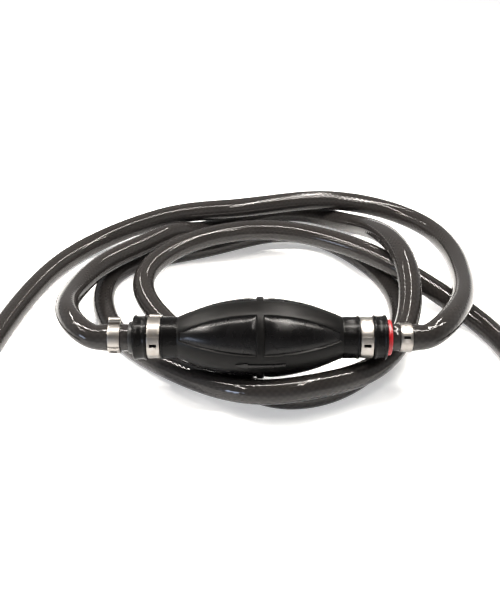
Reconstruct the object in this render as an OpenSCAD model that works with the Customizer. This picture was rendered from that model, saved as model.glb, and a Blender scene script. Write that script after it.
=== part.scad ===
// Squeeze bulb siphon pump in the middle of a flexible hose line.
// A rubber bulb with a check valve in each neck moves liquid one way, from the +X hose to the -X hose.
// Origin: the middle of the bulb, on its axis. X runs along the bulb, Y to the back and Z up, in mm.
// The line lies in loose loops on a floor below the bulb, and the bulb lies on the loops.

/* [Bulb] */
// Length of the swollen part, from neck root to neck root
bulb_len = 104; // [96:1:120]
// Diameter over the four raised lands, at the middle
bulb_d = 52; // [48:1:54]
// Thickness of the rubber wall under the lands
bulb_wall = 2.8; // [2.2:0.1:3.4]
// Depth of the four sunk panels below the lands
panel_step = 1.1; // [0.5:0.1:1.4]
// Width of a sunk panel at the middle
panel_w = 26; // [20:1:30]
// Width of a sunk panel at its blunt ends
panel_end_w = 6; // [3:0.5:10]
// Distance from a sunk panel's end to the neck root
panel_end_gap = 1; // [0.5:0.5:6]
// Height of the squeeze direction above the horizontal, in degrees
squeeze_tilt = 39; // [0:1:90]
// Width of the rib that crosses each sunk panel at the middle
rib_w = 4; // [2:0.5:6]
// Height of that rib over the sunk panel
rib_h = 1.3; // [0.6:0.1:1.6]
// Length of the raised flow arrow on the front land
arrow_len = 31; // [20:1:40]
// Length of the arrow's head
arrow_head = 8; // [5:0.5:10]
// Width of the arrow's head
arrow_w = 4.2; // [2.4:0.2:5]
// Height of the arrow over the land
arrow_h = 0.5; // [0.2:0.1:0.8]

/* [Necks] */
// Diameter of a neck where it leaves the bulb
neck_d = 26.8; // [25.6:0.2:28]
// Length of a neck from its root to its clamp seat
neck_len = 10.8; // [10:0.1:16]
// Diameter of the bead before the clamp seat
bead_d = 28; // [27:0.2:29]
// Width of the bead
bead_w = 1.5; // [1:0.1:2.5]
// Diameter of the seat that the neck clamp grips
seat_d = 25; // [24:0.2:26]
// Length of the clamp seat
seat_len = 8.5; // [8.4:0.1:12]
// Diameter of the collar at the neck's end
collar_d = 28.6; // [26.4:0.2:29]
// Length of the collar
collar_len = 8.9; // [6:0.1:10]
// Rounding of the collar's rims
collar_round = 1.2; // [0.4:0.1:2]
// Bore of a neck, which the valve plug fills
neck_bore = 20; // [19:0.1:21]

/* [Valves] */
// Diameter of the red flange between the inlet neck and its hose
inlet_flange_d = 22.8; // [20:0.1:26]
// Diameter of the black flange between the outlet neck and its hose
outlet_flange_d = 20.6; // [20:0.1:26]
// Thickness of both flanges
flange_t = 3; // [2.5:0.1:5]
// Rounding of the flanges' rims
flange_round = 0.8; // [0.2:0.1:1.2]
// Distance from the neck root to the valve plug
plug_gap = 2; // [1:0.5:4]
// Bore of the chamber that the poppet moves in
chamber_d = 15; // [14.4:0.1:16]
// Bore of the port that the poppet closes
port_d = 8; // [7:0.1:9]
// Thickness of the seat ring, the spring cage and the spring web
web_t = 2.5; // [2:0.1:3]
// Diameter of the flow holes in the cage and the web
flow_hole_d = 3.2; // [2.4:0.1:3.4]
// Number of flow holes
flow_holes = 5; // [4:1:6]
// Diameter of the poppet's disc
poppet_d = 12; // [11:0.2:13]
// Thickness of the poppet's disc
poppet_t = 2; // [1.5:0.1:3]
// Thickness of the rubber ring on the poppet
seal_t = 1; // [0.6:0.1:1.6]
// Diameter of that ring
seal_d = 11.4; // [10:0.2:12]
// Diameter of the poppet's nose, inside the rubber ring
nose_d = 4; // [3:0.1:5]
// Diameter of the poppet's stem
stem_d = 3; // [2.4:0.1:3.2]
// How far the nose stands out of the rubber ring
nose_end = 1.2; // [0.6:0.1:2]
// How far the stem stands out of its guide with the valve shut
stem_end = 1; // [0.5:0.1:1.5]
// Length of the spring with the valve shut
spring_len = 11; // [9:0.5:13]
// Diameter of the spring's coil, at the middle of its wire
spring_d = 5.6; // [5:0.1:6]
// Diameter of the spring's wire
wire_d = 0.7; // [0.4:0.1:0.9]
// Turns of the spring
spring_turns = 5; // [4:1:6]
// Length of the space behind the web in the outlet valve
plenum_len = 3; // [2:0.5:4]
// Bore of that space
plenum_d = 12; // [10:0.2:13]

/* [Hose] */
// Outside diameter of the hose
hose_d = 16; // [14:0.1:16]
// Bore of the hose
hose_bore = 9.5; // [8:0.1:10]
// Diameter over the barbs of the nipple that the hose is pushed onto
nipple_d = 10.6; // [10.2:0.1:11]
// Length of the nipple
nipple_len = 16; // [14:0.5:16.5]
// Number of barbs on the nipple
barbs = 4; // [3:1:5]
// Depth of the grooves between the barbs
barb_depth = 0.5; // [0.3:0.1:0.6]
// Length of hose that is stretched over the nipple
cuff_len = 17; // [17:0.5:19]
// Length of the straight piece at each free end
tip_len = 25; // [16:1:40]
// Height of the bulb's axis above the floor
axis_h = 42; // [42:0.5:44]

/* [Clamps] */
// Thickness of the clamp's strip
band_t = 0.7; // [0.5:0.05:0.9]
// Width of the strip on the necks
neck_band_w = 7.9; // [7:0.1:8.2]
// Width of the strip on the hose
hose_band_w = 7.4; // [7:0.1:8.2]
// Distance from the flange to the hose clamp
hose_band_gap = 5.5; // [3:0.1:6]
// Radius of the pinched ear, outside
ear_r = 2.3; // [1.8:0.1:2.6]
// Angle that the strip's outer end covers, in degrees
lap_angle = 56; // [50:2:64]
// Length of the lock's window along the clamp's axis
window_w = 4.4; // [3:0.1:5]
// Length of the lock's window round the clamp
window_l = 1.8; // [1.4:0.1:2.2]
// Length of the hook below the window
hook_l = 2.4; // [1.6:0.1:2.6]
// Height of the hook over the strip
hook_h = 0.4; // [0.2:0.1:0.6]
// Outlet hose clamp: lean of its ear to the back, in degrees from the top
outlet_hose_ear = 28; // [0:2:40]
// Outlet hose clamp: lean of its lock to the front, in degrees from the top
outlet_hose_lock = 126; // [60:2:150]
// Outlet neck clamp: lean of its ear to the back
outlet_neck_ear = 66; // [0:2:90]
// Outlet neck clamp: lean of its lock to the front
outlet_neck_lock = 80; // [50:2:150]
// Inlet neck clamp: lean of its ear to the back
inlet_neck_ear = 84; // [0:2:90]
// Inlet neck clamp: lean of its lock to the front
inlet_neck_lock = 80; // [50:2:150]
// Inlet hose clamp: lean of its ear to the back
inlet_hose_ear = 84; // [0:2:90]
// Inlet hose clamp: lean of its lock to the front
inlet_hose_lock = 60; // [50:2:150]

/* [Clearances] */
// Gap round a squeeze panel in its window
panel_gap = 0.3; // [0.2:0.05:0.4]
// Gap round the poppet's stem in its guide
stem_gap = 0.3; // [0.2:0.05:0.35]
// Gap between shut faces: seal to seat, and spring to poppet
shut_gap = 0.05; // [0.02:0.01:0.1]
// How far a cut runs on past the face that it opens
cut_over = 1; // [0.5:0.5:2]

/* [Hidden] */
$fn = 96;

rubber = "#1d1c1c";
hose_grey = "#3b3937";
steel = "#c9c6c0";
red_plastic = "#c22f35";
black_plastic = "#222222";
white_plastic = "#e6e3da";

// Places along the axis, counted outwards from the bulb's middle
root_x = bulb_len / 2;
seat_in = root_x + neck_len;
seat_out = seat_in + seat_len;
collar_out = seat_out + collar_len;
flange_out = collar_out + flange_t;
nipple_out = flange_out + nipple_len;
cuff_out = flange_out + cuff_len;

// The bulb's outline is one arc over the crown, from neck root to neck root
crown_r = bulb_d / 2;
neck_r = neck_d / 2;
sag = crown_r - neck_r;
arc_r = (root_x * root_x + sag * sag) / (2 * sag);

// A sunk panel is a blunt lens between two arcs, seen square to the axis
panel_l = root_x - panel_end_gap;
bow = (panel_w - panel_end_w) / 2;
lens_r = (panel_l * panel_l + bow * bow) / (2 * bow);

// The valve's stack of pieces, counted outwards from the plug's inner end
plug_in = root_x + plug_gap;
inlet_spring_in = plug_in + web_t;
inlet_disc_in = inlet_spring_in + spring_len;
inlet_seal_in = inlet_disc_in + poppet_t;
inlet_seat_x = inlet_seal_in + seal_t + shut_gap;
outlet_seat_x = plug_in + web_t;
outlet_seal_in = outlet_seat_x + shut_gap;
outlet_disc_in = outlet_seal_in + seal_t;
outlet_spring_in = outlet_disc_in + poppet_t;
outlet_web_in = outlet_spring_in + spring_len;
outlet_web_out = outlet_web_in + web_t;

hose_r = hose_d / 2;
hose_wall = (hose_d - hose_bore) / 2;
nipple_r = nipple_d / 2;
cuff_r = nipple_r + hose_wall;
hose_clamp_x = flange_out + hose_band_gap + hose_band_w / 2;
neck_clamp_x = (seat_in + seat_out) / 2;

// Routes of the two hoses: [x, y, height above the floor].
// The outlet hose bends back from the bulb, goes twice round under it and leaves to the right.
outlet_route = [
    [-cuff_out, 0, axis_h], [-108, 0, 42], [-119, 8, 45.6], [-127.5, 24.5, 44.2], [-132, 50, 37.3],
    [-130, 79, 29.5], [-123, 106, 26], [-110, 127.5, 25], [-89, 147, 24.6], [-67.5, 169, 25],
    [-51, 189.3, 10.6], [-33, 209, 6.5], [0, 229, 6.5], [40, 238, 6.5], [74, 212, 8],
    [90.5, 171.5, 26.5], [100, 130, 41], [106, 94, 45], [107, 62, 37], [101, 34, 26],
    [87, 11, 18], [66, -11.1, 19.9], [36, -24.5, 22.2], [2, -32, 21.4], [-29, -15.5, 14.4],
    [-56, 7.8, 8.8], [-82, 29.5, 6.8], [-105, 57, 6.5], [-117, 90, 6.5], [-118, 124, 6.5],
    [-101, 151.5, 6.5], [-69, 161.8, 6.5], [-30, 173.5, 8.6], [12, 188.5, 14], [52, 186, 10.5],
    [84, 156, 6.5], [102, 120, 6.5], [106, 80, 6.5], [97.2, 43.6, 6.5], [74.5, 11, 6.5],
    [44.5, -14.8, 6.5], [6.5, -20, 6.5], [-24, 6.5, 6.5], [-50, 40, 9], [-74, 67, 14],
    [-88, 93, 18], [-84, 122, 21.5], [-60, 147, 25], [-26, 164, 26.5], [14, 168, 27],
    [50, 156, 26.5], [83, 135, 26], [112, 108, 23], [138, 92, 12], [159, 69.5, 6.5],
    [172, 39, 6.5], [178, 0, 8], [178, -30, 8]
];
// The inlet hose bends back from the bulb, goes over the other loops at the back and leaves to the left.
inlet_route = [
    [cuff_out, 0, axis_h], [108, 0, 42], [119.2, 8, 46], [131, 28, 43.5], [143.5, 60, 36.5],
    [150, 97, 28.5], [153, 141, 22], [144.5, 183, 18], [121.5, 209, 18.5], [90.5, 218.2, 23.2],
    [54, 220, 27], [16, 211, 27], [-24, 199, 27.5], [-62, 197, 27], [-100, 191.5, 17.5],
    [-133.5, 178, 9], [-158, 150, 6.5], [-173.5, 109, 6.5], [-185, 55, 6.5], [-190, 6, 8],
    [-190, -20, 8]
];
hose_sides = 10;
rings_per_span = 2;

// One point of the smooth curve that follows four route points
function along(a, b, c, d, t) =
    (pow(1 - t, 3) * a + (3 * pow(t, 3) - 6 * t * t + 4) * b
        + (3 * t * t + 3 * t - 3 * pow(t, 3) + 1) * c + pow(t, 3) * d) / 6;

// The route with one more point at each end, which makes the curve start and end on its own end points
function with_ends(p) = [2 * p[0] - p[1], each p, 2 * p[len(p) - 1] - p[len(p) - 2]];

// Points on the curve, so many to a span
function curve(p, per) =
    let (q = with_ends(p), spans = len(p) - 1)
    [for (i = [0 : spans - 1], k = [0 : per - 1]) along(q[i], q[i + 1], q[i + 2], q[i + 3], k / per), p[spans]];

// Direction of a line of points at point i
function heading(c, i) =
    let (d = c[min(i + 1, len(c) - 1)] - c[max(i - 1, 0)])
    d / norm(d);

// Direction of the curve at its first and last point, along the route's own end lines
function end_heading(p, i) = i == 0 ? (p[1] - p[0]) / norm(p[1] - p[0]) : heading(p, len(p) - 1);

// Ring of points round a centre, square to direction d, pressed flat where it meets the floor
function hose_ring(centre, d, r) =
    let (side = cross([0, 0, 1], d) / norm(cross([0, 0, 1], d)), up = cross(d, side))
    [for (k = [0 : hose_sides - 1])
        let (a = 360 * (k + 0.5) / hose_sides, v = centre + r * (cos(a) * side + sin(a) * up))
        [v[0], v[1], max(v[2], 0)]];

// Side faces between rings of n points, and the two end faces
function tube_faces(rings, n) = [
    [for (k = [n - 1 : -1 : 0]) k],
    for (i = [0 : rings - 2], k = [0 : n - 1]) [i * n + k, i * n + (k + 1) % n, (i + 1) * n + (k + 1) % n],
    for (i = [0 : rings - 2], k = [0 : n - 1]) [i * n + k, (i + 1) * n + (k + 1) % n, (i + 1) * n + k],
    [for (k = [0 : n - 1]) (rings - 1) * n + k]
];

// Least distance between points of one curve that are further along it than skip points
function self_distance(c, skip) =
    min([for (i = [0 : len(c) - 1 - skip], j = [i + skip : len(c) - 1]) norm(c[i] - c[j])]);

// Least distance between points of two curves
function pair_distance(c, d) = min([for (p = c, q = d) norm(p - q)]);

// Rod along X from x0 to x1
module rod(x0, x1, r) {
    translate([min(x0, x1), 0, 0])
        rotate([0, 90, 0])
            cylinder(h = abs(x1 - x0), r = r);
}

// Rod along X from x0 to x1, with rounded rims
module round_rod(x0, x1, r, rounding) {
    len = x1 - x0;
    translate([x0, 0, 0])
        rotate([0, 90, 0])
            rotate_extrude() {
                square([r - rounding, len]);
                translate([0, rounding])
                    square([r, len - 2 * rounding]);
                for (y = [rounding, len - rounding])
                    translate([r - rounding, y])
                        circle(rounding);
            }
}

// Swollen body of the bulb, made thinner all over by inset
module swell(inset) {
    rotate([0, 90, 0])
        rotate_extrude()
            intersection() {
                translate([crown_r - arc_r, 0])
                    circle(arc_r - inset, $fn = 360);
                translate([0, -root_x])
                    square([crown_r - inset, bulb_len]);
            }
}

// Neck with its bead, clamp seat and rounded collar, on the +X side
module neck() {
    rod(panel_l, seat_in, neck_r);
    rod(seat_in - bead_w, seat_in, bead_d / 2);
    rod(root_x, seat_out + collar_len / 2, seat_d / 2);
    round_rod(seat_out, collar_out, collar_d / 2, collar_round);
}

// Lens outline of a sunk panel, drawn in on all sides by inset
module lens(inset) {
    intersection() {
        square([2 * (panel_l - inset), panel_w], center = true);
        intersection_for (s = [-1, 1])
            translate([0, s * (lens_r - panel_w / 2)])
                circle(lens_r - inset, $fn = 360);
    }
}

// Straight lens prism from the axis outwards: turn is 0 along the squeeze direction and 180 opposite it
module lens_prism(turn, inset) {
    rotate([90 - squeeze_tilt + turn, 0, 0])
        linear_extrude(height = bulb_d)
            lens(inset);
}

// Flow arrow, raised on the land below the front panel, which points to the outlet
module flow_arrow() {
    tip = -arrow_len / 2;
    intersection() {
        difference() {
            swell(-arrow_h);
            swell(bulb_wall / 2);
        }
        rotate([90 - squeeze_tilt + 45, 0, 0])
            linear_extrude(height = bulb_d)
                polygon([
                    [tip, 0],
                    [tip + arrow_head, arrow_w / 2],
                    [tip + arrow_head, arrow_w / 4],
                    [-tip, arrow_w / 4],
                    [-tip, -arrow_w / 4],
                    [tip + arrow_head, -arrow_w / 4],
                    [tip + arrow_head, -arrow_w / 2]
                ]);
    }
}

// The rubber moulding without its two squeeze panels: lands, two fixed sunk panels with their ribs, and necks
module bulb_shell() {
    color(rubber)
        difference() {
            union() {
                difference() {
                    swell(0);
                    lens_prism(90, 0);
                    lens_prism(270, 0);
                }
                swell(panel_step);
                rod(-rib_w / 2, rib_w / 2, crown_r - panel_step + rib_h);
                flow_arrow();
                neck();
                mirror([1, 0, 0])
                    neck();
            }
            swell(bulb_wall);
            rod(root_x - bulb_wall, collar_out + cut_over, neck_bore / 2);
            rod(-root_x + bulb_wall, -collar_out - cut_over, neck_bore / 2);
            lens_prism(0, 0);
            lens_prism(180, 0);
        }
}

// Sunk wall that the hand presses in, with its stretch of the rib
module squeeze_panel(turn) {
    color(rubber)
        intersection() {
            difference() {
                union() {
                    swell(panel_step);
                    rod(-rib_w / 2, rib_w / 2, crown_r - panel_step + rib_h);
                }
                swell(bulb_wall);
            }
            lens_prism(turn, panel_gap);
        }
}

module front_squeeze_panel() {
    squeeze_panel(0);
}

module rear_squeeze_panel() {
    squeeze_panel(180);
}

// Barbed nipple on the +X side, whose barbs are steep towards the flange
module nipple() {
    pitch = nipple_len / barbs;
    for (i = [0 : barbs - 1])
        translate([flange_out + i * pitch, 0, 0])
            rotate([0, 90, 0])
                cylinder(h = pitch, r1 = nipple_r, r2 = nipple_r - barb_depth);
    rod(collar_out, nipple_out, nipple_r - barb_depth);
}

// Plug, flange and nipple of a valve, on the +X side
module valve_outside(flange_d) {
    rod(plug_in, flange_out, neck_bore / 2);
    round_rod(collar_out, flange_out, flange_d / 2, flange_round);
    nipple();
}

// Guide hole for the stem, with flow holes round it, through a web from x0 to x1
module web_holes(x0, x1) {
    ring_r = (stem_d / 2 + stem_gap + chamber_d / 2) / 2;
    rod(x0, x1, stem_d / 2 + stem_gap);
    for (k = [0 : flow_holes - 1])
        rotate([360 * k / flow_holes, 0, 0])
            translate([0, 0, ring_r])
                rod(x0, x1, flow_hole_d / 2);
}

// Inlet valve: the poppet shuts against the inner end of the port and opens into the bulb
module inlet_valve_body() {
    color(red_plastic)
        difference() {
            valve_outside(inlet_flange_d);
            rod(plug_in - cut_over, inlet_seat_x, chamber_d / 2);
            rod(plug_in, nipple_out + cut_over, port_d / 2);
        }
}

// Cage pressed into the inlet valve, which carries the spring and guides the stem
module inlet_spring_cage() {
    color(white_plastic)
        difference() {
            rod(plug_in, inlet_spring_in, chamber_d / 2);
            web_holes(plug_in - cut_over, inlet_spring_in + cut_over);
        }
}

// Outlet valve: the spring rests on a web before the port
module outlet_valve_body() {
    color(black_plastic)
        mirror([1, 0, 0])
            difference() {
                valve_outside(outlet_flange_d);
                rod(plug_in - cut_over, outlet_web_in, chamber_d / 2);
                web_holes(outlet_web_in - cut_over, outlet_web_out + cut_over);
                rod(outlet_web_out, outlet_web_out + plenum_len, plenum_d / 2);
                rod(outlet_web_out, nipple_out + cut_over, port_d / 2);
            }
}

// Seat ring pressed into the outlet valve, which its poppet shuts against
module outlet_valve_seat() {
    color(white_plastic)
        mirror([1, 0, 0])
            difference() {
                rod(plug_in, outlet_seat_x, chamber_d / 2);
                rod(plug_in - cut_over, outlet_seat_x + cut_over, port_d / 2);
            }
}

// Poppet with its disc from x0, its nose on the side of dir and its stem on the other
module poppet(x0, dir) {
    back = dir > 0 ? x0 : x0 + poppet_t;
    face = dir > 0 ? x0 + poppet_t : x0;
    color(white_plastic) {
        rod(x0, x0 + poppet_t, poppet_d / 2);
        rod(back, face + dir * (seal_t + nose_end), nose_d / 2);
        rod(face, back - dir * (spring_len + web_t + stem_end), stem_d / 2);
    }
}

// Rubber ring round the poppet's nose
module poppet_seal(x0) {
    color(rubber)
        difference() {
            rod(x0, x0 + seal_t, seal_d / 2);
            rod(x0 - cut_over, x0 + seal_t + cut_over, nose_d / 2);
        }
}

module inlet_poppet() {
    poppet(inlet_disc_in, 1);
}

module inlet_poppet_seal() {
    poppet_seal(inlet_seal_in);
}

module outlet_poppet() {
    mirror([1, 0, 0])
        poppet(outlet_disc_in, -1);
}

module outlet_poppet_seal() {
    mirror([1, 0, 0])
        poppet_seal(outlet_seal_in);
}

// Coil spring along X from x0, as long as the space less a shut gap at both ends
module spring(x0) {
    steps = spring_turns * 10;
    wire_r = wire_d / 2;
    first = x0 + shut_gap + wire_r;
    rise = spring_len - 2 * shut_gap - wire_d;
    n = 6;
    points = [
        for (i = [0 : steps], k = [0 : n - 1])
            let (a = 360 * spring_turns * i / steps, b = 360 * k / n, r = spring_d / 2 + wire_r * cos(b))
            [first + rise * i / steps + wire_r * sin(b), r * cos(a), r * sin(a)]
    ];
    color(steel)
        polyhedron(points, tube_faces(steps + 1, n), 4);
}

module inlet_spring() {
    spring(inlet_spring_in);
}

module outlet_spring() {
    mirror([1, 0, 0])
        spring(outlet_spring_in);
}

// Slice of a ring from radius r0 to r1, of the given angle, about the direction lean degrees to the front
module ring_slice(r0, r1, lean, angle) {
    far = 2 * r1;
    intersection() {
        difference() {
            circle(r1);
            circle(r0);
        }
        polygon([
            [0, 0],
            [-far * sin(lean - angle / 2), far * cos(lean - angle / 2)],
            [-far * sin(lean + angle / 2), far * cos(lean + angle / 2)]
        ]);
    }
}

// Strip clamp round radius r at place x: closed strip, hollow ear, and an outer end hooked through a window
module strip_clamp(x, r, w, ear_lean, lock_lean) {
    r1 = r + band_t;
    r2 = r1 + band_t;
    color(steel)
        translate([x, 0, 0]) {
            difference() {
                rotate([90, 0, 90])
                    linear_extrude(height = w, center = true) {
                        difference() {
                            union() {
                                circle(r1);
                                rotate(-ear_lean)
                                    translate([0, r1 + ear_r - band_t])
                                        circle(ear_r);
                            }
                            circle(r);
                            rotate(-ear_lean)
                                translate([0, r1 + ear_r - band_t])
                                    circle(ear_r - band_t);
                        }
                        ring_slice(r, r2, lock_lean, lap_angle);
                    }
                rotate([lock_lean, 0, 0])
                    translate([-window_w / 2, 0, 0])
                        cube([window_w, window_l, 2 * r2]);
            }
            rotate([lock_lean, 0, 0])
                translate([-window_w / 2 + band_t / 2, -hook_l, r1])
                    cube([window_w - band_t, hook_l, band_t + hook_h]);
        }
}

module outlet_neck_clamp() {
    strip_clamp(-neck_clamp_x, seat_d / 2, neck_band_w, outlet_neck_ear, outlet_neck_lock);
}

module outlet_hose_clamp() {
    strip_clamp(-hose_clamp_x, cuff_r, hose_band_w, outlet_hose_ear, outlet_hose_lock);
}

module inlet_neck_clamp() {
    strip_clamp(neck_clamp_x, seat_d / 2, neck_band_w, inlet_neck_ear, inlet_neck_lock);
}

module inlet_hose_clamp() {
    strip_clamp(hose_clamp_x, cuff_r, hose_band_w, inlet_hose_ear, inlet_hose_lock);
}

// End of the hose, stretched over the nipple, on the +X side
module hose_cuff() {
    color(hose_grey)
        difference() {
            rod(flange_out, cuff_out, cuff_r);
            rod(flange_out - cut_over, cuff_out + cut_over, nipple_r);
        }
}

module inlet_hose_cuff() {
    hose_cuff();
}

module outlet_hose_cuff() {
    mirror([1, 0, 0])
        hose_cuff();
}

// Free run of a hose along its route
module hose_run(route) {
    c = curve(route, rings_per_span);
    last = len(c) - 1;
    points = [
        for (i = [0 : last])
            each hose_ring(c[i], i == 0 || i == last ? end_heading(route, i) : heading(c, i), hose_r)
    ];
    color(hose_grey)
        translate([0, 0, -axis_h])
            polyhedron(points, tube_faces(len(c), hose_sides), 4);
}

// Straight free end of a hose, cut square, with its true bore
module hose_tip(route) {
    p = route[len(route) - 1];
    color(hose_grey)
        translate([p[0], p[1], p[2] - axis_h])
            rotate([90, 0, 0])
                difference() {
                    cylinder(h = tip_len, r = hose_r);
                    translate([0, 0, -cut_over])
                        cylinder(h = tip_len + 2 * cut_over, r = hose_bore / 2);
                }
}

module outlet_hose() {
    hose_run(outlet_route);
}

module outlet_hose_tip() {
    hose_tip(outlet_route);
}

module inlet_hose() {
    hose_run(inlet_route);
}

module inlet_hose_tip() {
    hose_tip(inlet_route);
}

// Least gaps between the hose's own loops and between the two hoses, measured on points along them
union() {
    a = curve(outlet_route, 6);
    b = curve(inlet_route, 6);
    echo(least_gap_of_outlet_hose_to_itself = self_distance(a, 18) - hose_d);
    echo(least_gap_of_inlet_hose_to_itself = self_distance(b, 18) - hose_d);
    echo(least_gap_between_the_hoses = pair_distance(a, b) - hose_d);
}

bulb_shell();
front_squeeze_panel();
rear_squeeze_panel();
outlet_valve_body();
outlet_valve_seat();
outlet_poppet();
outlet_poppet_seal();
outlet_spring();
inlet_valve_body();
inlet_spring_cage();
inlet_poppet();
inlet_poppet_seal();
inlet_spring();
outlet_neck_clamp();
outlet_hose_clamp();
inlet_neck_clamp();
inlet_hose_clamp();
outlet_hose_cuff();
outlet_hose();
outlet_hose_tip();
inlet_hose_cuff();
inlet_hose();
inlet_hose_tip();
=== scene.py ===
# Squeeze bulb siphon pump in the middle of a flexible hose line, lying in loose loops on a pale floor.
# Metres, in the frame of the solids: X along the bulb to the inlet, Y to the back, Z up.
import math
import bmesh
import bpy
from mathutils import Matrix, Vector


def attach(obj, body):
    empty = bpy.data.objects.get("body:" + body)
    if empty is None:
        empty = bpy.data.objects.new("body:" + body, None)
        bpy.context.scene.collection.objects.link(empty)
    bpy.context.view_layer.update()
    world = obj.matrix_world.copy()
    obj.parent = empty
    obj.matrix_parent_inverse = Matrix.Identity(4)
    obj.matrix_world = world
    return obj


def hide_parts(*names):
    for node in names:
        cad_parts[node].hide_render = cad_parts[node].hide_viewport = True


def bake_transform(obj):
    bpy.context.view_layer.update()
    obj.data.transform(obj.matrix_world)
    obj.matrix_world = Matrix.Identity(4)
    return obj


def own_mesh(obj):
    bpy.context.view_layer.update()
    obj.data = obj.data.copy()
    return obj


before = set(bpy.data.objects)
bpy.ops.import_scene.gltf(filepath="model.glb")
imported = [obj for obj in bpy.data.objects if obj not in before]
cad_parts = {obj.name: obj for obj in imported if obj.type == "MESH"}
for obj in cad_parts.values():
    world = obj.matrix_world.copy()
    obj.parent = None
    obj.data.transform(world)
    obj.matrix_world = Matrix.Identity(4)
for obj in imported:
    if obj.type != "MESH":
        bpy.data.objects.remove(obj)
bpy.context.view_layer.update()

# Camera and studio: a pale sweep of paper under the pump, and a camera 34 degrees above it.
# Three thin strip lamps under the roof of a light box draw the bright lines along the rubber. Its walls
# light the sides and the front, the room above the camera is dark, and a cool window at the left gives
# weak glints. The paper is lit a little from below, as on a light table, so that shadows stay faint.
FLOOR_Z = -0.042


def linear(hex_colour):
    parts = [int(hex_colour[i:i + 2], 16) / 255 for i in (1, 3, 5)]
    return [c / 12.92 if c <= 0.04045 else ((c + 0.055) / 1.055) ** 2.4 for c in parts] + [1.0]


def node(tree, kind, inputs=None, **settings):
    made = tree.nodes.new(kind)
    for name, value in settings.items():
        setattr(made, name, value)
    for socket, value in (inputs or {}).items():
        if isinstance(value, bpy.types.NodeSocket):
            tree.links.new(value, made.inputs[socket])
        else:
            made.inputs[socket].default_value = value
    return made


def new_material(name):
    made = bpy.data.materials.new(name)
    made.use_nodes = True
    return made, made.node_tree, made.node_tree.nodes["Principled BSDF"]


bpy.ops.object.select_all(action="DESELECT")
bpy.ops.object.camera_add(location=(-0.00637, -0.45090, 0.33295), rotation=(math.radians(56), 0, 0))
camera = bpy.context.object
camera.data.lens = 52.74
camera.data.sensor_width = 36
camera.data.clip_start = 0.01
bpy.context.scene.camera = camera
bpy.context.scene.view_settings.view_transform = "Standard"
bpy.context.scene.view_settings.look = "Medium High Contrast"

bpy.ops.mesh.primitive_plane_add(size=12, location=(0, 0, FLOOR_Z - 0.0002))
floor = bpy.context.object
floor.name = "paper_floor"
bpy.ops.object.transform_apply(location=True, rotation=True, scale=True)
paper, tree, shader = new_material("white_paper")
shader.inputs["Base Color"].default_value = linear("#f4f4f3")
shader.inputs["Roughness"].default_value = 0.9
shader.inputs["Specular IOR Level"].default_value = 0.1
shader.inputs["Emission Color"].default_value = linear("#ffffff")
shader.inputs["Emission Strength"].default_value = 0.34
floor.data.materials.append(paper)

world = bpy.data.worlds.new("studio")
world.use_nodes = True
bpy.context.scene.world = world
tree = world.node_tree
tree.nodes.clear()
place = node(tree, "ShaderNodeTexCoord")
# Dark round a direction 58 degrees up behind the camera, even elsewhere
near = node(tree, "ShaderNodeVectorMath", {0: place.outputs["Generated"], 1: (0.0, -0.53, 0.85)},
            operation="DOT_PRODUCT")
light = node(tree, "ShaderNodeMapRange", {0: near.outputs["Value"], 1: 0.52, 2: 0.86, 3: 0.42, 4: 0.04},
             interpolation_type="SMOOTHSTEP")
# Walls of the light box: one at each side, and a brighter one low behind the camera
part = node(tree, "ShaderNodeSeparateXYZ", {0: place.outputs["Generated"]})
aside = node(tree, "ShaderNodeMath", {0: part.outputs[0]}, operation="ABSOLUTE")
walls = node(tree, "ShaderNodeMapRange", {0: aside.outputs[0], 1: 0.60, 2: 0.95, 3: 0.0, 4: 0.42},
             interpolation_type="SMOOTHSTEP")
ahead = node(tree, "ShaderNodeMapRange", {0: part.outputs[1], 1: -0.74, 2: -0.97, 3: 0.0, 4: 0.60},
             interpolation_type="SMOOTHSTEP")
both = node(tree, "ShaderNodeMath", {0: walls.outputs[0], 1: ahead.outputs[0]}, operation="ADD")
whole = node(tree, "ShaderNodeMath", {0: light.outputs[0], 1: both.outputs[0]}, operation="ADD")
sky = node(tree, "ShaderNodeBackground", {"Color": linear("#fdfcfb"), "Strength": whole.outputs[0]})
node(tree, "ShaderNodeOutputWorld", {0: sky.outputs[0]})

LAMPS = [
    # name, place, place it points at, size across and along, watts, colour
    ("roof_strip", (-0.06, 0.07, 0.42), (-0.06, 0.07, 0), (0.84, 0.007), 4.4, "#fffaf4"),
    ("left_strip", (-0.36, 0.18, 0.42), (-0.36, 0.18, 0), (0.007, 0.76), 3.2, "#fffaf4"),
    ("right_strip", (0.14, 0.18, 0.42), (0.14, 0.18, 0), (0.005, 0.76), 2.6, "#fffaf4"),
    ("cool_window", (-1.25, -0.95, 0.22), (0, 0, 0), (0.40, 0.30), 6, "#d5e4ff"),
]
for name, spot, aim, size, watts, colour in LAMPS:
    bpy.ops.object.light_add(type="AREA", location=spot)
    lamp = bpy.context.object
    lamp.name = name
    lamp.rotation_euler = (Vector(spot) - Vector(aim)).to_track_quat("Z", "Y").to_euler()
    lamp.data.shape = "RECTANGLE"
    lamp.data.size, lamp.data.size_y = size
    lamp.data.energy = watts
    lamp.data.color = linear(colour)[:3]
    lamp.visible_camera = False

# Valves: two moulded bodies, red at the inlet and black at the outlet, that plug the bulb's necks.
# Injection moulded plastic, glossy where it shows as a flange. The poppets, seat ring and spring cage
# inside are white acetal, turned smooth, with black rubber rings. They stay the solids they are.


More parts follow.
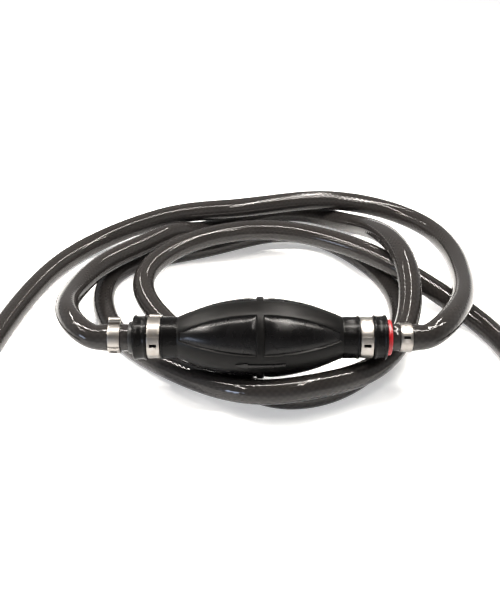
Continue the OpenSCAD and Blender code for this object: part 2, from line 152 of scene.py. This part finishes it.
def moulded_plastic(name, colour, deep, roughness):
    made, tree, shader = new_material(name)
    place = node(tree, "ShaderNodeTexCoord")
    # Flow marks of the moulding, about 4 mm apart, and a fine grain of 0.4 mm
    spot = place.outputs["Object"]
    flow = node(tree, "ShaderNodeTexNoise", {"Vector": spot, "Scale": 250.0, "Detail": 2.0})
    grain = node(tree, "ShaderNodeTexNoise", {"Vector": spot, "Scale": 2500.0, "Detail": 2.0})
    tint = node(tree, "ShaderNodeMix", {0: flow.outputs[0], 6: linear(deep), 7: linear(colour)},
                data_type="RGBA")
    gloss = node(tree, "ShaderNodeMapRange", {0: flow.outputs[0], 3: roughness - 0.06, 4: roughness + 0.08})
    bump = node(tree, "ShaderNodeBump", {"Height": grain.outputs[0], "Strength": 0.25, "Distance": 0.00002})
    tree.links.new(tint.outputs[2], shader.inputs["Base Color"])
    tree.links.new(gloss.outputs[0], shader.inputs["Roughness"])
    tree.links.new(bump.outputs[0], shader.inputs["Normal"])
    shader.inputs["IOR"].default_value = 1.5
    return made


red_plastic = moulded_plastic("red_moulded_plastic", "#a61e26", "#8a161c", 0.30)
black_plastic = moulded_plastic("black_moulded_plastic", "#262626", "#1a1a1a", 0.36)
white_acetal = moulded_plastic("white_acetal", "#e9e6dd", "#d9d5c8", 0.34)
seal_rubber = moulded_plastic("black_seal_rubber", "#1f1f1f", "#161616", 0.55)

for material, nodes in [
    (red_plastic, ["inlet_valve_body"]),
    (black_plastic, ["outlet_valve_body"]),
    (white_acetal, ["outlet_valve_seat", "outlet_poppet", "inlet_spring_cage", "inlet_poppet"]),
    (seal_rubber, ["outlet_poppet_seal", "inlet_poppet_seal"]),
]:
    for name in nodes:
        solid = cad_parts[name]
        solid.data.materials.clear()
        solid.data.materials.append(material)

# Valve springs: five open turns of 0.7 mm stainless wire that hold each poppet shut.
# Wound by a screw round the axis.
WIRE_R = 0.00035
COIL_R = 0.0028
TURNS = 5
SPRING_L = 0.0109


def steel_strip(name, colour, straw, roughness):
    made, tree, shader = new_material(name)
    place = node(tree, "ShaderNodeTexCoord")
    # Rolling marks run round the clamp, 0.25 mm apart across the strip
    spot = place.outputs["Object"]
    spread = node(tree, "ShaderNodeMapping", {"Vector": spot, "Scale": (4000.0, 60.0, 60.0)})
    marks = node(tree, "ShaderNodeTexNoise", {"Vector": spread.outputs[0], "Scale": 1.0, "Detail": 3.0})
    # Straw tint and dull patches, about 3 mm across
    patch = node(tree, "ShaderNodeTexNoise", {"Vector": spot, "Scale": 330.0, "Detail": 3.0})
    tint = node(tree, "ShaderNodeMix", {0: patch.outputs[0], 6: linear(straw), 7: linear(colour)},
                data_type="RGBA")
    dull = node(tree, "ShaderNodeMapRange",
                {0: patch.outputs[0], 1: 0.3, 2: 0.7, 3: roughness + 0.08, 4: roughness})
    bump = node(tree, "ShaderNodeBump", {"Height": marks.outputs[0], "Strength": 0.5, "Distance": 0.00001})
    tree.links.new(tint.outputs[2], shader.inputs["Base Color"])
    tree.links.new(dull.outputs[0], shader.inputs["Roughness"])
    tree.links.new(bump.outputs[0], shader.inputs["Normal"])
    shader.inputs["Metallic"].default_value = 1.0
    return made


stainless_wire = steel_strip("drawn_stainless_wire", "#cfccc6", "#b9b4aa", 0.22)


def apply_all(piece):
    bpy.ops.object.select_all(action="DESELECT")
    piece.select_set(True)
    bpy.context.view_layer.objects.active = piece
    for modifier in list(piece.modifiers):
        bpy.ops.object.modifier_apply(modifier=modifier.name)


def edit(piece):
    bpy.ops.object.select_all(action="DESELECT")
    piece.select_set(True)
    bpy.context.view_layer.objects.active = piece
    bpy.ops.object.mode_set(mode="EDIT")
    bpy.ops.mesh.select_all(action="DESELECT")


def done(smooth_angle):
    bpy.ops.object.mode_set(mode="OBJECT")
    bpy.ops.object.shade_smooth_by_angle(angle=math.radians(smooth_angle))


for name, first, joint, fixed_end in [
    ("outlet_valve_spring", -0.07050, "outlet_poppet_slide", -0.07055),
    ("inlet_valve_spring", 0.05655, "inlet_poppet_slide", 0.05650),
]:
    bpy.ops.object.select_all(action="DESELECT")
    bpy.ops.mesh.primitive_circle_add(vertices=10, radius=WIRE_R, location=(first + WIRE_R, 0, COIL_R),
                                      rotation=(math.pi / 2, 0, 0))
    spring = bpy.context.object
    spring.name = name
    bpy.ops.object.transform_apply(location=True, rotation=True, scale=True)
    screw = spring.modifiers.new("turns", "SCREW")
    screw.axis = "X"
    screw.angle = 2 * math.pi * TURNS
    screw.screw_offset = SPRING_L - 2 * WIRE_R
    screw.steps = screw.render_steps = 28 * TURNS
    apply_all(spring)
    edit(spring)
    bpy.ops.mesh.select_non_manifold()
    bpy.ops.mesh.edge_face_add()
    bpy.ops.mesh.select_all(action="SELECT")
    bpy.ops.mesh.normals_make_consistent(inside=False)
    done(50)
    spring.data.materials.append(stainless_wire)
    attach(spring, "pump")
    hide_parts(name.replace("_valve_spring", "_spring"))
    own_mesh(spring)

# Bulb: one thick rubber moulding that the hand squeezes, with four sunk glossy petals between matt lands,
# a rib across the petals, a raised flow arrow, and two necks with a bead, a clamp seat and a collar.
# Each half is modelled flat as a grid and bent round its axis, and its petals are pressed in.
SQUEEZE = Vector((0, -0.777146, 0.6293204))
CROWN_R, ARC_R = 0.026, 0.1136
PETAL_L, PETAL_W, PETAL_BOW_R = 0.051, 0.026, 0.13505
RIB = 0.002
RIB_RISE = 0.0002
WALL = 0.0028
BORE_R = 0.01005
# Petals: width and depth of their sloping edge, depth of the middle, and how far and wide they fall to the edge
EDGE_W, EDGE_DEPTH = 0.0007, 0.0011
MIDDLE_DEPTH, FALL, FALL_W = 0.0005, 0.0008, 0.0055
SMOOTH_NECK_X = 0.0525
# Neck from the swell outwards, as distance from the middle and radius, in mm
NECK = [
    (51.6, 13.55), (52.3, 13.25), (53.0, 13.36), (55.0, 13.4), (58.5, 13.4), (60.7, 13.4), (61.2, 13.5),
    (61.4, 13.8), (61.7, 13.98), (62.1, 14.0), (62.5, 13.95), (62.73, 13.7), (62.8, 13.2), (62.85, 12.6),
    (63.1, 12.45), (67.05, 12.42), (71.0, 12.45), (71.25, 12.6), (71.3, 13.2), (71.4, 13.8), (71.7, 14.15),
    (72.1, 14.35), (72.8, 14.35), (73.2, 14.05), (73.6, 13.75), (75.75, 13.7), (77.9, 13.75), (78.3, 14.05),
    (78.7, 14.35), (79.4, 14.32), (79.9, 14.05), (80.15, 13.6), (80.2, 13.1),
]


def land_r(x):
    return CROWN_R - ARC_R + math.sqrt(ARC_R ** 2 - x * x)


def petal_angle(x):
    x = min(abs(x), PETAL_L)
    half = PETAL_W / 2 - PETAL_BOW_R + math.sqrt(PETAL_BOW_R ** 2 - x * x)
    return math.asin(half / land_r(x))


def grid_piece(name, columns, rows, spot):
    bpy.ops.object.select_all(action="DESELECT")
    bpy.ops.mesh.primitive_grid_add(x_subdivisions=columns, y_subdivisions=rows, size=2)
    piece = bpy.context.object
    piece.name = name
    for v in piece.data.vertices:
        i = round((v.co.x + 1) / 2 * columns)
        j = round((v.co.y + 1) / 2 * rows)
        v.co = spot(i, j)
    return piece


def moulded_rubber(name, colour, worn, roughness, shine, grain_mm, grain_depth):
    made, tree, shader = new_material(name)
    place = node(tree, "ShaderNodeTexCoord")
    # Sparked mould finish, and bloom on the rubber in patches about 9 mm across
    spot = place.outputs["Object"]
    grain = node(tree, "ShaderNodeTexNoise", {"Vector": spot, "Scale": 1000.0 / grain_mm, "Detail": 3.0})
    bloom = node(tree, "ShaderNodeTexNoise", {"Vector": spot, "Scale": 110.0, "Detail": 4.0})
    tint = node(tree, "ShaderNodeMix", {0: bloom.outputs[0], 6: linear(colour), 7: linear(worn)},
                data_type="RGBA")
    gloss = node(tree, "ShaderNodeMapRange",
                 {0: bloom.outputs[0], 1: 0.3, 2: 0.7, 3: roughness - 0.04, 4: roughness + 0.06})
    bump = node(tree, "ShaderNodeBump", {"Height": grain.outputs[0], "Strength": 1.0, "Distance": grain_depth})
    tree.links.new(tint.outputs[2], shader.inputs["Base Color"])
    tree.links.new(gloss.outputs[0], shader.inputs["Roughness"])
    tree.links.new(bump.outputs[0], shader.inputs["Normal"])
    shader.inputs["IOR"].default_value = 1.5
    shader.inputs["Specular IOR Level"].default_value = shine
    return made


land_rubber = moulded_rubber("matt_moulded_rubber", "#0f0f0f", "#151413", 0.36, 0.14, 0.5, 0.00002)
petal_rubber = moulded_rubber("gloss_moulded_rubber", "#0c0c0d", "#111010", 0.26, 0.26, 0.8, 0.000006)
neck_rubber = moulded_rubber("smooth_moulded_rubber", "#0b0b0b", "#100f0f", 0.24, 0.15, 0.8, 0.000006)

swell = [-PETAL_L + (PETAL_L - RIB) * k / 24 for k in range(25)]
profile = [(-x / 1000, r / 1000) for x, r in reversed(NECK)]
profile += [(x, land_r(x)) for x in swell]
profile += [(-0.0018, CROWN_R), (0, CROWN_R), (0.0018, CROWN_R)]
profile += [(-x, land_r(x)) for x in reversed(swell)]
profile += [(x / 1000, r / 1000) for x, r in NECK]
profile += [(0.0802, 0.0102), (0.0799, BORE_R), (0.066, BORE_R), (0.0535, BORE_R), (0.0522, 0.0105)]
profile += [(0.051 - 0.102 * k / 30, land_r(0.051 - 0.102 * k / 30) - WALL) for k in range(31)]
profile += [(-0.0522, 0.0105), (-0.0535, BORE_R), (-0.066, BORE_R), (-0.0799, BORE_R), (-0.0802, 0.0102)]
profile.append(profile[0])
SIDE, LAND, MIDDLE = 12, 10, 24
STRIPS = 2 * SIDE + 2 * LAND + MIDDLE


def strip_angle(x, j):
    petal, quarter = petal_angle(x), math.pi / 2
    if j <= SIDE:
        return quarter - petal * j / SIDE
    if j <= SIDE + LAND:
        return quarter - petal - (quarter - 2 * petal) * (j - SIDE) / LAND
    if j <= SIDE + LAND + MIDDLE:
        return petal - 2 * petal * (j - SIDE - LAND) / MIDDLE
    return -strip_angle(x, STRIPS - j)


def round_axis(x, r, angle, out):
    across = Vector((1, 0, 0)).cross(out)
    return Vector((x, 0, 0)) + r * (math.cos(angle) * out + math.sin(angle) * across)


def bulb_spot(i, j, out):
    x, r = profile[i]
    # The rib stands a little over the lands where it crosses a petal
    in_petal = j < SIDE or j > STRIPS - SIDE or SIDE + LAND < j < SIDE + LAND + MIDDLE
    rib = RIB_RISE if in_petal and abs(x) < RIB and r > CROWN_R - 0.001 else 0.0
    return round_axis(x, r + rib, strip_angle(x, j), out)


def bulb_half(name, out):
    half = grid_piece(name, len(profile) - 1, STRIPS, lambda i, j: bulb_spot(i, j, out))
    half.data.materials.append(land_rubber)
    half.data.materials.append(petal_rubber)
    half.data.materials.append(neck_rubber)
    edit(half)
    bpy.ops.mesh.select_all(action="SELECT")
    bpy.ops.mesh.remove_doubles(threshold=0.00001)
    bpy.ops.mesh.select_all(action="DESELECT")
    # The petals are sunk below the lands, with a sloping edge
    mesh = bmesh.from_edit_mesh(half.data)
    across = Vector((1, 0, 0)).cross(out)
    for face in mesh.faces:
        spot = face.calc_center_median()
        angle = abs(math.atan2(spot.dot(across), spot.dot(out)))
        petal = petal_angle(spot.x)
        outside = Vector((0, spot.y, spot.z)).length > land_r(min(abs(spot.x), PETAL_L)) - 0.001
        if outside and RIB < abs(spot.x) < PETAL_L and (angle < petal or angle > math.pi / 2 - petal):
            face.select_set(True)
    bmesh.update_edit_mesh(half.data)
    bpy.ops.mesh.inset(thickness=EDGE_W, depth=-EDGE_DEPTH, use_boundary=False)
    # Each petal is a cushion: its middle lies just below the lands, and it falls away to its edges
    mesh = bmesh.from_edit_mesh(half.data)
    for v in {v for face in mesh.faces if face.select for v in face.verts}:
        angle = abs(math.atan2(v.co.dot(across), v.co.dot(out)))
        angle = min(angle, abs(math.pi / 2 - angle))
        land = land_r(v.co.x)
        inside = min((petal_angle(v.co.x) - angle) * land, abs(v.co.x) - RIB, PETAL_L - abs(v.co.x)) - EDGE_W
        fall = max(0.0, 1 - max(0.0, inside) / FALL_W)
        depth = MIDDLE_DEPTH + FALL * fall * fall
        ring = Vector((0, v.co.y, v.co.z))
        v.co += ring * ((land - depth) / ring.length - 1)
    # The mould is polished in the petals and smooth round the necks
    bmesh.update_edit_mesh(half.data)
    half.active_material_index = 1
    bpy.ops.object.material_slot_assign()
    bpy.ops.mesh.select_all(action="DESELECT")
    mesh = bmesh.from_edit_mesh(half.data)
    for face in mesh.faces:
        if abs(face.calc_center_median().x) > SMOOTH_NECK_X:
            face.select_set(True)
    bmesh.update_edit_mesh(half.data)
    half.active_material_index = 2
    bpy.ops.object.material_slot_assign()
    # Round the petals' edges
    bpy.ops.mesh.select_all(action="DESELECT")
    bpy.ops.mesh.select_mode(type="EDGE")
    mesh = bmesh.from_edit_mesh(half.data)
    for edge in mesh.edges:
        middle = (edge.verts[0].co + edge.verts[1].co) / 2
        if len(edge.link_faces) == 2 and abs(middle.x) < 0.0513 and edge.calc_face_angle() > math.radians(22):
            edge.select_set(True)
    bmesh.update_edit_mesh(half.data)
    bpy.ops.mesh.bevel(offset=0.0003, segments=2, affect="EDGES", clamp_overlap=True)
    # Close the wall where the halves meet
    for v in bmesh.from_edit_mesh(half.data).verts:
        if abs(v.co.dot(out)) < 0.0002:
            v.co -= out * v.co.dot(out)
    bpy.ops.mesh.select_all(action="DESELECT")
    bpy.ops.mesh.select_non_manifold()
    bpy.ops.mesh.fill()
    bpy.ops.mesh.select_all(action="SELECT")
    bpy.ops.mesh.normals_make_consistent(inside=False)
    bpy.ops.mesh.select_mode(type="VERT")
    done(40)
    return half


front_half = bulb_half("bulb_front_half", SQUEEZE)
rear_half = bulb_half("bulb_rear_half", -SQUEEZE)

# Flow arrow on the land below the front petal, pointing to the outlet
ARROW_L, HEAD_L, HEAD_W, SHAFT_W = 0.031, 0.008, 0.0044, 0.0021
ARROW_SUNK, ARROW_T = 0.0003, 0.0010
ARROW_COLUMNS, ARROW_ROWS = 62, 4


def arrow_spot(i, j):
    x = -ARROW_L / 2 + ARROW_L * i / ARROW_COLUMNS
    from_tip = x + ARROW_L / 2
    width = 0.0002 + HEAD_W * from_tip / HEAD_L if from_tip < HEAD_L - 0.0001 else SHAFT_W
    r = land_r(x) - ARROW_SUNK
    return round_axis(x, r, math.pi / 4 - (j / ARROW_ROWS - 0.5) * width / r, SQUEEZE)


arrow = grid_piece("flow_arrow", ARROW_COLUMNS, ARROW_ROWS, arrow_spot)
thick = arrow.modifiers.new("raised", "SOLIDIFY")
thick.thickness = ARROW_T
thick.offset = 1.0
edge = arrow.modifiers.new("edge", "BEVEL")
edge.width = 0.0002
edge.segments = 2
edge.limit_method = "ANGLE"
edge.angle_limit = math.radians(50)
apply_all(arrow)
arrow.data.materials.append(petal_rubber)
bpy.ops.object.shade_smooth_by_angle(angle=math.radians(40))
bpy.ops.object.select_all(action="DESELECT")
arrow.select_set(True)
front_half.select_set(True)
bpy.context.view_layer.objects.active = front_half
bpy.ops.object.join()

for half, out, wall, nodes in [
    (front_half, SQUEEZE, "front_wall", ["bulb_shell", "front_squeeze_panel"]),
    (rear_half, -SQUEEZE, "rear_wall", ["rear_squeeze_panel"]),
]:
    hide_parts(*nodes)
    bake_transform(half)

# Clamps: bright stainless strip, closed round each neck and each hose end, with a pinched hollow ear
# that draws it tight, and an outer end that hooks through a window in the strip.
# Rolled, pierced and bent from one strip 0.7 mm thick.
STRIP_T = 0.0007
LAP = math.radians(56)
WINDOW_W, WINDOW_L = 0.0044, 0.0018
HOOK_L, HOOK_H = 0.0024, 0.0004
EAR_R, EAR_RISE, EAR_FOOT = 0.00195, 0.0023, 0.00075
bright_strip = steel_strip("bright_stainless_strip", "#979594", "#8a847c", 0.33)


def front_lean(x, r, lean):
    return Vector((x, -r * math.sin(lean), r * math.cos(lean)))


def even_steps(start, end, step, keep):
    count = max(1, round(abs(end - start) / step))
    steps = [start + (end - start) * k / count for k in range(count + 1)]
    steps = [s for s in steps if all(abs(s - k) > 0.45 * step for k in keep)] + list(keep)
    return sorted(steps, reverse=True)


def strip_clamp(name, x, r, width, ear_back, lock_front):
    lock = math.radians(lock_front)
    ear = -math.radians(ear_back)
    middle = r + STRIP_T / 2
    window = WINDOW_L / (r + STRIP_T)
    foot = math.asin(EAR_FOOT / middle)
    across = [x - width / 2, x - WINDOW_W / 2, x + WINDOW_W / 2, x + width / 2]
    # Line of the strip: round the neck from one foot of the ear to the other, then over the ear
    line = [(middle, a) for a in even_steps(ear + 2 * math.pi - foot, ear + foot, math.radians(3),
                                            [lock, lock - window, ear + foot, ear + 2 * math.pi - foot])]
    spots = [lambda x, r=radius, a=lean: front_lean(x, r, a) for radius, lean in line]
    centre = r + EAR_RISE
    start = math.asin(EAR_FOOT / EAR_R)
    for k in range(1, 24):
        turn = math.pi - start - (2 * math.pi - 2 * start) * k / 24
        out, side = centre + EAR_R * math.cos(turn), EAR_R * math.sin(turn)
        spots.append(lambda x, o=out, s=side: front_lean(x, o, ear) + front_lean(0, s, ear + math.pi / 2))
    spots.append(spots[0])
    band = grid_piece(name, 3, len(spots) - 1, lambda i, j: spots[j](across[i]))
    lap_angles = even_steps(lock - LAP / 2, lock + LAP / 2, math.radians(3), [lock, lock - window])
    lap = grid_piece(name + "_lap", 3, len(lap_angles) - 1,
                     lambda i, j: front_lean(across[i], middle + STRIP_T + 0.00002, lap_angles[j]))
    for piece in (band, lap):
        edit(piece)
        bpy.ops.mesh.select_all(action="SELECT")
        bpy.ops.mesh.remove_doubles(threshold=0.00001)
        bpy.ops.mesh.select_all(action="DESELECT")
        mesh = bmesh.from_edit_mesh(piece.data)
        for face in mesh.faces:
            spot = face.calc_center_median()
            lean = math.atan2(-spot.y, spot.z)
            if abs(spot.x - x) < WINDOW_W / 2 and lock - window < lean < lock:
                face.select_set(True)
        bmesh.update_edit_mesh(piece.data)
        bpy.ops.mesh.delete(type="FACE")
        bpy.ops.object.mode_set(mode="OBJECT")
        thick = piece.modifiers.new("strip", "SOLIDIFY")
        thick.thickness = STRIP_T
        thick.offset = 0.0
        rounded = piece.modifiers.new("edges", "BEVEL")
        rounded.width = 0.00018
        rounded.segments = 2
        rounded.limit_method = "ANGLE"
        rounded.angle_limit = math.radians(50)
        apply_all(piece)
    # Hook: a tongue of the strip pressed up below the window
    bpy.ops.object.select_all(action="DESELECT")
    bpy.ops.mesh.primitive_cube_add(size=1, location=(x, 0, 0))
    hook = bpy.context.object
    outer = r + 2 * STRIP_T
    for v in hook.data.vertices:
        along = lock + (0.5 - v.co.z) * HOOK_L / outer
        lift = (HOOK_H + 0.0001 if v.co.z > 0 else 0.0001) if v.co.y < 0 else -0.0004
        v.co = front_lean(v.co.x * (WINDOW_W - STRIP_T), outer + lift, along)
    bpy.ops.object.transform_apply(location=True, rotation=False, scale=False)
    edit(hook)
    bpy.ops.mesh.select_all(action="SELECT")
    bpy.ops.mesh.normals_make_consistent(inside=False)
    bpy.ops.mesh.bevel(offset=0.00022, segments=3, affect="EDGES")
    bpy.ops.object.mode_set(mode="OBJECT")
    bpy.ops.object.select_all(action="DESELECT")
    for piece in (band, lap, hook):
        piece.select_set(True)
    bpy.context.view_layer.objects.active = band
    bpy.ops.object.join()
    bpy.ops.object.shade_smooth_by_angle(angle=math.radians(40))
    band.data.materials.append(bright_strip)
    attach(band, "pump")
    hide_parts(name.replace("_strip", ""))


NECK_CLAMP_X, NECK_SEAT_R, NECK_STRIP_W = 0.06705, 0.0125, 0.0079
HOSE_CLAMP_X, HOSE_CUFF_R, HOSE_STRIP_W = 0.0924, 0.00855, 0.0074
strip_clamp("outlet_neck_clamp_strip", -NECK_CLAMP_X, NECK_SEAT_R, NECK_STRIP_W, 66, 80)
strip_clamp("outlet_hose_clamp_strip", -HOSE_CLAMP_X, HOSE_CUFF_R, HOSE_STRIP_W, 28, 126)
strip_clamp("inlet_neck_clamp_strip", NECK_CLAMP_X, NECK_SEAT_R, NECK_STRIP_W, 84, 80)
strip_clamp("inlet_hose_clamp_strip", HOSE_CLAMP_X, HOSE_CUFF_R, HOSE_STRIP_W, 84, 60)

# Hoses: two lengths of 16 mm reinforced rubber hose with a 9.5 mm bore, pushed onto the barbed nipples.
# Extruded over a braid that shows through the skin as fine diamonds, so that a thin line of light
# along it breaks into beads; shade in the grooves between the diamonds is painted into the colour. They lie in
# loops on the floor and are pressed a little flat by it.
HOSE_R, HOSE_BORE_R, TIP_L = 0.008, 0.00475, 0.025
SIDES = 30
BRAID = 0.0042
DIAMONDS = 12
FLANGE_X = 0.0832
# The hose end is stretched over its nipple, and eases back to size over the first 9 mm of the run
CUFF_L, CUFF_R, NIPPLE_R, EASE_L = 0.017, 0.0085, 0.00535, 0.009
CUT_EDGE = 0.0003
# Swell of the hose end on its nipple: distance from the flange and radius, in mm
CUFF = [
    (0.0, 8.2), (0.25, 8.5), (0.8, 8.62), (2.5, 8.7), (4.4, 8.78), (5.1, 8.7), (5.45, 8.5), (9.2, 8.46),
    (12.95, 8.5), (13.3, 8.7), (13.9, 8.78), (15.0, 8.72), (16.0, 8.6), (17.0, 8.5),
]
# Route points as x, y and height above the floor, in mm
OUTLET_ROUTE = [
    (-100.2, 0, 42), (-108, 0, 42), (-119, 8, 45.6), (-127.5, 24.5, 44.2), (-132, 50, 37.3), (-130, 79, 29.5),
    (-123, 106, 26), (-110, 127.5, 25), (-89, 147, 24.6), (-67.5, 169, 25), (-51, 189.3, 10.6), (-33, 209, 6.5),
    (0, 229, 6.5), (40, 238, 6.5), (74, 212, 8), (90.5, 171.5, 26.5), (100, 130, 41), (106, 94, 45),
    (107, 62, 37), (101, 34, 26), (87, 11, 18), (66, -11.1, 19.9), (36, -24.5, 22.2), (2, -32, 21.4),
    (-29, -15.5, 14.4), (-56, 7.8, 8.8), (-82, 29.5, 6.8), (-105, 57, 6.5), (-117, 90, 6.5), (-118, 124, 6.5),
    (-101, 151.5, 6.5), (-69, 161.8, 6.5), (-30, 173.5, 8.6), (12, 188.5, 14), (52, 186, 10.5), (84, 156, 6.5),
    (102, 120, 6.5), (106, 80, 6.5), (97.2, 43.6, 6.5), (74.5, 11, 6.5), (44.5, -14.8, 6.5), (6.5, -20, 6.5),
    (-24, 6.5, 6.5), (-50, 40, 9), (-74, 67, 14), (-88, 93, 18), (-84, 122, 21.5), (-60, 147, 25),
    (-26, 164, 26.5), (14, 168, 27), (50, 156, 26.5), (83, 135, 26), (112, 108, 23), (138, 92, 12),
    (159, 69.5, 6.5), (172, 39, 6.5), (178, 0, 8), (178, -30, 8),
]
INLET_ROUTE = [
    (100.2, 0, 42), (108, 0, 42), (119.2, 8, 46), (131, 28, 43.5), (143.5, 60, 36.5), (150, 97, 28.5),
    (153, 141, 22), (144.5, 183, 18), (121.5, 209, 18.5), (90.5, 218.2, 23.2), (54, 220, 27), (16, 211, 27),
    (-24, 199, 27.5), (-62, 197, 27), (-100, 191.5, 17.5), (-133.5, 178, 9), (-158, 150, 6.5),
    (-173.5, 109, 6.5), (-185, 55, 6.5), (-190, 6, 8), (-190, -20, 8),
]
STEPS = 10

hose_rubber, tree, shader = new_material("braided_hose_rubber")
uv = node(tree, "ShaderNodeUVMap", uv_map="along_hose")
place = node(tree, "ShaderNodeTexCoord")
part = node(tree, "ShaderNodeSeparateXYZ", {0: uv.outputs[0]})
right = node(tree, "ShaderNodeMath", {0: part.outputs[0], 1: part.outputs[1]}, operation="ADD")
left = node(tree, "ShaderNodeMath", {0: part.outputs[0], 1: part.outputs[1]}, operation="SUBTRACT")
strands = []
for lay in (right, left):
    turn = node(tree, "ShaderNodeMath", {0: lay.outputs[0], 1: 2 * math.pi}, operation="MULTIPLY")
    strands.append(node(tree, "ShaderNodeMath", {0: turn.outputs[0]}, operation="SINE"))
braid = node(tree, "ShaderNodeMath", {0: strands[0].outputs[0], 1: strands[1].outputs[0]}, operation="ADD")
# Extruded skin: a fine grain of 0.6 mm, and dusty patches about 14 mm across
grain = node(tree, "ShaderNodeTexNoise", {"Vector": place.outputs["Object"], "Scale": 1700.0, "Detail": 3.0})
dust = node(tree, "ShaderNodeTexNoise", {"Vector": place.outputs["Object"], "Scale": 70.0, "Detail": 5.0})
tint = node(tree, "ShaderNodeMix", {0: dust.outputs[0], 6: linear("#292726"), 7: linear("#302e2d")},
            data_type="RGBA")
# Painted shade: the colour is up to 16% darker in the grooves between the braid diamonds
knit = node(tree, "ShaderNodeMapRange", {0: braid.outputs[0], 1: -1.2, 2: 1.2, 3: 0.0, 4: 1.0})
painted_groove_shade = node(tree, "ShaderNodeMix", {0: knit.outputs[0], 6: linear("#ececec"), 7: linear("#ffffff")},
             data_type="RGBA")
colour = node(tree, "ShaderNodeMix", {0: 1.0, 6: tint.outputs[2], 7: painted_groove_shade.outputs[2]}, data_type="RGBA",
              blend_type="MULTIPLY")
gloss = node(tree, "ShaderNodeMapRange", {0: dust.outputs[0], 1: 0.3, 2: 0.7, 3: 0.06, 4: 0.10})
skin = node(tree, "ShaderNodeBump", {"Height": grain.outputs[0], "Strength": 1.0, "Distance": 0.000003})
relief = node(tree, "ShaderNodeBump", {"Height": braid.outputs[0], "Strength": 1.0, "Distance": 0.000010,
                                       "Normal": skin.outputs[0]})
tree.links.new(colour.outputs[2], shader.inputs["Base Color"])
tree.links.new(gloss.outputs[0], shader.inputs["Roughness"])
tree.links.new(relief.outputs[0], shader.inputs["Normal"])
shader.inputs["IOR"].default_value = 1.5
shader.inputs["Specular IOR Level"].default_value = 0.28


def smooth_route(route):
    p = [Vector((x, y, h)) / 1000 + Vector((0, 0, FLOOR_Z)) for x, y, h in route]
    p = [2 * p[0] - p[1]] + p + [2 * p[-1] - p[-2]]
    spots = []
    for a, b, c, d in zip(p, p[1:], p[2:], p[3:]):
        for k in range(STEPS):
            t = k / STEPS
            spots.append(((1 - t) ** 3 * a + (3 * t ** 3 - 6 * t * t + 4) * b
                          + (3 * t * t + 3 * t - 3 * t ** 3 + 1) * c + t ** 3 * d) / 6)
    return spots + [p[-2]]


def hose(name, route, nodes):
    run = smooth_route(route)
    way = Vector((math.copysign(1, route[0][0]), 0, 0))
    flange = way * FLANGE_X
    # Outside, from the flange to the free end
    outer = [(flange + way * d / 1000, way, r / 1000) for d, r in CUFF]
    gone = 0.0
    for k in range(1, len(run) - 1):
        gone += (run[k] - run[k - 1]).length
        swell = max(0.0, 1 - gone / EASE_L) ** 2 * (CUFF_R - HOSE_R)
        outer.append((run[k], (run[k + 1] - run[k - 1]).normalized(), HOSE_R + swell))
    end = Vector((0, -1, 0))
    for k in range(8):
        outer.append((run[-1] + end * (TIP_L - CUT_EDGE) * k / 7, end, HOSE_R))
    tip = run[-1] + end * TIP_L
    # The bores at both ends are blind: they go as deep as can be seen
    rings = [(flange + way * CUFF_L, way, 0.0005), (flange + way * 0.0168, way, NIPPLE_R),
             (flange + way * CUT_EDGE, way, NIPPLE_R), (flange, way, 0.0056)]
    rings += outer
    rings += [(tip, end, HOSE_R - CUT_EDGE), (tip, end, HOSE_BORE_R + 0.0002),
              (tip - end * CUT_EDGE, end, HOSE_BORE_R), (tip - end * 0.024, end, HOSE_BORE_R),
              (tip - end * 0.0242, end, 0.0005)]
    points, along, total = [], [], 0.0
    for k, (centre, heading, r) in enumerate(rings):
        side = Vector((0, 0, 1)).cross(heading).normalized()
        up = heading.cross(side)
        for s in range(SIDES):
            a = 2 * math.pi * (s + 0.5) / SIDES
            v = centre + r * (math.cos(a) * side + math.sin(a) * up)
            v.z = max(v.z, FLOOR_Z)
            points.append(v)
        total += (centre - rings[k - 1][0]).length if k else 0.0
        along.append(total)
    faces, corners = [], []
    for k in range(len(rings) - 1):
        for s in range(SIDES):
            n = (s + 1) % SIDES
            faces.append((k * SIDES + s, k * SIDES + n, (k + 1) * SIDES + n, (k + 1) * SIDES + s))
            corners += [(s, k), (s + 1, k), (s + 1, k + 1), (s, k + 1)]
    for k in (0, len(rings) - 1):
        loop = [k * SIDES + s for s in range(SIDES)]
        faces.append(loop[::-1] if k == 0 else loop)
        corners += [(s, k) for s in range(SIDES)]
    mesh = bpy.data.meshes.new(name)
    mesh.from_pydata(points, [], faces)
    # Braid diamonds: 12 round the hose, and one for each 4.2 mm along it
    layer = mesh.uv_layers.new(name="along_hose")
    for loop, (s, k) in zip(layer.data, corners):
        loop.uv = (DIAMONDS * s / SIDES, along[k] / BRAID)
    piece = bpy.data.objects.new(name, mesh)
    bpy.context.collection.objects.link(piece)
    mesh.materials.append(hose_rubber)
    edit(piece)
    bpy.ops.mesh.select_all(action="SELECT")
    bpy.ops.mesh.normals_make_consistent(inside=False)
    done(25)
    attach(piece, "pump")
    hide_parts(*nodes)


hose("outlet_hose_line", OUTLET_ROUTE, ["outlet_hose_cuff", "outlet_hose", "outlet_hose_tip"])
hose("inlet_hose_line", INLET_ROUTE, ["inlet_hose_cuff", "inlet_hose", "inlet_hose_tip"])
